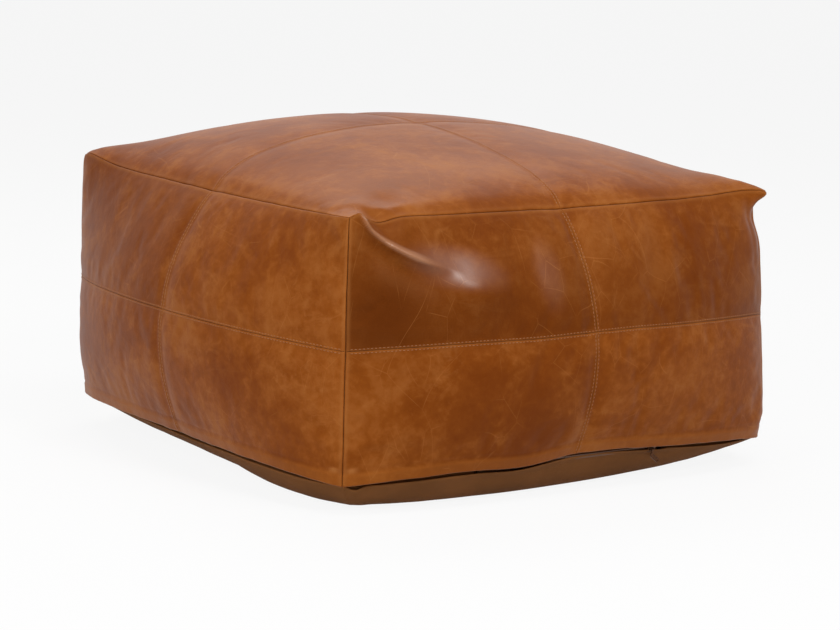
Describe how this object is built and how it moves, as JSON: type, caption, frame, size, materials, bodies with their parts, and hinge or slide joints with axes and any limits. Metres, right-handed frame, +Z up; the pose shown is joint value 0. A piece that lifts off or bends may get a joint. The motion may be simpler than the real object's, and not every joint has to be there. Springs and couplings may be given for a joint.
{
  "type": "moroccan leather pouf",
  "caption": "Square stuffed leather floor pouf with cross seams on its domed top and bulging sides, a turned-up hem and a flat canvas base closed by a zip.",
  "frame": {"origin": "on the floor, under the middle of the pouf", "axes": "+Z up; -Y faces the side that has the zip, +X is that side's right end"},
  "size_m": [0.74, 0.74, 0.405],
  "materials": {
    "cover_leather": "satin",
    "base_canvas": "matte",
    "liner_cloth": "matte",
    "filling": "matte",
    "zip_tape": "matte",
    "zip_coil": "satin",
    "zip_metal": "satin"
  },
  "bodies": {
    "pouf": {"top_panel_front_left": "cover_leather", "top_panel_front_right": "cover_leather", "top_panel_rear_right": "cover_leather", "top_panel_rear_left": "cover_leather", "front_wall_upper_left": "cover_leather", "front_wall_upper_right": "cover_leather", "front_wall_lower_left": "cover_leather", "front_wall_lower_right": "cover_leather", "front_hem_turn_left": "cover_leather", "front_hem_turn_right": "cover_leather", "right_wall_upper_left": "cover_leather", "right_wall_upper_right": "cover_leather", "right_wall_lower_left": "cover_leather", "right_wall_lower_right": "cover_leather", "right_hem_turn_left": "cover_leather", "right_hem_turn_right": "cover_leather", "rear_wall_upper_left": "cover_leather", "rear_wall_upper_right": "cover_leather", "rear_wall_lower_left": "cover_leather", "rear_wall_lower_right": "cover_leather", "rear_hem_turn_left": "cover_leather", "rear_hem_turn_right": "cover_leather", "left_wall_upper_left": "cover_leather", "left_wall_upper_right": "cover_leather", "left_wall_lower_left": "cover_leather", "left_wall_lower_right": "cover_leather", "left_hem_turn_left": "cover_leather", "left_hem_turn_right": "cover_leather", "base_canvas": "base_canvas", "liner_bag": "liner_cloth", "filling": "filling", "zip_tape_upper": "zip_tape", "zip_tape_lower": "zip_tape", "zip_coil_upper": "zip_coil", "zip_coil_lower": "zip_coil", "zip_top_stop": "zip_metal", "zip_bottom_stop": "zip_metal"},
    "slider": {"zip_slider": "zip_metal"},
    "pull": {"zip_pull": "zip_metal"}
  },
  "joints": [
    {"name": "zip_slide", "type": "slide", "parent": "pouf", "child": "slider", "axis": [1, 0, 0], "range_m": [-0.236, 0]},
    {"name": "pull_swing", "type": "hinge", "parent": "slider", "child": "pull", "pos_m": [0.118, -0.33111, 0.04234], "axis": [-1, 0, 0], "range_deg": [-25, 90]}
  ]
}
